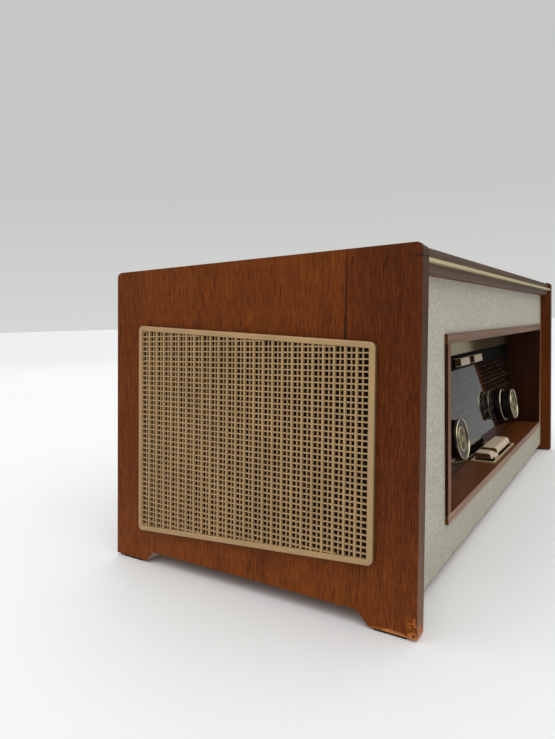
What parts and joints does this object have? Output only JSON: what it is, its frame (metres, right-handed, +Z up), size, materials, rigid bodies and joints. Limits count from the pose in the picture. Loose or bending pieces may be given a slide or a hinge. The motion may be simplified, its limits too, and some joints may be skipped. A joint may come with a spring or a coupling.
{
  "type": "tabletop valve radio",
  "caption": "Tabletop valve radio in a wooden case with leaning side panels, side speaker grilles, a recessed tuning dial, concentric knobs, piano keys and tone sliders.",
  "frame": {"origin": "centre of the footprint, at the underside of the foot pads", "axes": "+X to the right as seen from the front, +Y to the back, +Z up"},
  "size_m": [0.662, 0.3, 0.272],
  "materials": {
    "case_wood": "dark reddish veneer, satin lacquer",
    "lid_wood": "dark reddish veneer, satin lacquer",
    "plywood": "bare plywood",
    "baffle_board": "black painted board",
    "hardboard": "pressed board",
    "front_cloth": "pale grained leathercloth",
    "gilt": "brushed gilt",
    "grille_plastic": "tan moulding",
    "glass": "dark printed glass",
    "black_plastic": "black",
    "dial_black": "matt black",
    "ivory": "ivory",
    "disc_gilt": "pale gilt",
    "pointer_red": "red",
    "pads": "black",
    "screw_steel": "zinc plated",
    "speaker_steel": "grey",
    "paper_cone": "pressed paper",
    "cans": "satin",
    "valve_glass": "clear",
    "transformer_iron": "varnished",
    "ferrite": "dark ferrite"
  },
  "bodies": {
    "cabinet": {"left_side_panel": "case_wood", "right_side_panel": "case_wood", "top_board": "lid_wood", "bottom_board": "plywood", "front_board": "plywood", "front_cover": "front_cloth", "trim_strip": "gilt", "dial_frame_top": "case_wood", "dial_frame_shelf": "case_wood", "dial_frame_left": "case_wood", "dial_frame_right": "case_wood", "back_cover": "hardboard", "back_screws": "screw_steel", "foot_pads": "pads", "left_grille": "grille_plastic", "right_grille": "grille_plastic", "left_baffle": "baffle_board", "right_baffle": "baffle_board", "left_basket": "speaker_steel", "right_basket": "speaker_steel", "left_cone": "paper_cone", "right_cone": "paper_cone", "left_magnet": "speaker_steel", "right_magnet": "speaker_steel", "chassis": "screw_steel", "dial_glass": "glass", "dial_backplate": "dial_black", "slider_bezel": "black_plastic", "dial_header": "gilt", "pointer_rail": "screw_steel", "key_plate": "gilt", "key_cheeks": "screw_steel", "key_rod": "screw_steel", "volume_control": "cans", "tuning_bearing": "cans", "gang_stator": "cans", "valves": "valve_glass", "output_transformers": "transformer_iron", "mains_transformer": "transformer_iron", "smoothing_can": "cans", "aerial_rod": "ferrite", "socket_panel": "hardboard", "mains_inlet": "black_plastic"},
    "volume_knob": {"volume_knob": "black_plastic", "volume_disc": "disc_gilt"},
    "balance_ring": {"balance_ring": "black_plastic"},
    "tuning_knob": {"tuning_knob": "black_plastic", "tuning_disc": "disc_gilt"},
    "band_ring": {"band_ring": "black_plastic"},
    "pointer": {"dial_pointer": "pointer_red"},
    "gang_rotor": {"gang_rotor": "cans"},
    "bass_slider": {"bass_slider": "ivory"},
    "treble_slider": {"treble_slider": "ivory"},
    "key_1": {"key_1": "ivory"},
    "key_2": {"key_2": "ivory"},
    "key_3": {"key_3": "ivory"},
    "key_4": {"key_4": "ivory"},
    "key_5": {"key_5": "ivory"},
    "key_6": {"key_6": "ivory"}
  },
  "joints": [
    {"name": "volume_turn", "type": "hinge", "parent": "cabinet", "child": "volume_knob", "pos_m": [-0.1008, -0.09894, 0.09235], "axis": [0, -0.989, 0.1478], "range_deg": [-140, 140]},
    {"name": "balance_turn", "type": "hinge", "parent": "cabinet", "child": "balance_ring", "pos_m": [-0.1008, -0.09894, 0.09235], "axis": [0, -0.989, 0.1478], "range_deg": [-120, 120]},
    {"name": "tuning_turn", "type": "hinge", "parent": "cabinet", "child": "tuning_knob", "pos_m": [0.17, -0.09894, 0.09235], "axis": [0, -0.989, 0.1478], "range_deg": [-1440, 1440]},
    {"name": "band_turn", "type": "hinge", "parent": "cabinet", "child": "band_ring", "pos_m": [0.17, -0.09894, 0.09235], "axis": [0, -0.989, 0.1478], "range_deg": [-120, 120]},
    {"name": "pointer_travel", "type": "slide", "parent": "cabinet", "child": "pointer", "axis": [1, 0, 0], "range_m": [-0.19, 0.19]},
    {"name": "gang_turn", "type": "hinge", "parent": "cabinet", "child": "gang_rotor", "pos_m": [0.096, -0.022, 0.084], "axis": [1, 0, 0], "range_deg": [-90, 90]},
    {"name": "key_1_press", "type": "hinge", "parent": "cabinet", "child": "key_1", "pos_m": [0.0388, -0.075, 0.044], "axis": [1, 0, 0], "range_deg": [0, 6], "stiffness_Nm_per_rad": 0.4, "springref_deg": -12},
    {"name": "key_2_press", "type": "hinge", "parent": "cabinet", "child": "key_2", "pos_m": [0.0388, -0.075, 0.044], "axis": [1, 0, 0], "range_deg": [-6, 0], "stiffness_Nm_per_rad": 0.4, "springref_deg": 12},
    {"name": "key_3_press", "type": "hinge", "parent": "cabinet", "child": "key_3", "pos_m": [0.0388, -0.075, 0.044], "axis": [1, 0, 0], "range_deg": [0, 6], "stiffness_Nm_per_rad": 0.4, "springref_deg": -12},
    {"name": "key_4_press", "type": "hinge", "parent": "cabinet", "child": "key_4", "pos_m": [0.0388, -0.075, 0.044], "axis": [1, 0, 0], "range_deg": [0, 6], "stiffness_Nm_per_rad": 0.4, "springref_deg": -12},
    {"name": "key_5_press", "type": "hinge", "parent": "cabinet", "child": "key_5", "pos_m": [0.0388, -0.075, 0.044], "axis": [1, 0, 0], "range_deg": [0, 6], "stiffness_Nm_per_rad": 0.4, "springref_deg": -12},
    {"name": "key_6_press", "type": "hinge", "parent": "cabinet", "child": "key_6", "pos_m": [0.0388, -0.075, 0.044], "axis": [1, 0, 0], "range_deg": [0, 6], "stiffness_Nm_per_rad": 0.4, "springref_deg": -12},
    {"name": "bass_slide", "type": "slide", "parent": "cabinet", "child": "bass_slider", "axis": [1, 0, 0], "range_m": [-0.012, 0.012]},
    {"name": "treble_slide", "type": "slide", "parent": "cabinet", "child": "treble_slider", "axis": [1, 0, 0], "range_m": [-0.012, 0.012]}
  ],
  "couplings": [
    {"joint": "pointer_travel", "follows": "tuning_turn", "m_per_rad": 0.0075201},
    {"joint": "gang_turn", "follows": "tuning_turn", "ratio": 0.061806}
  ]
}
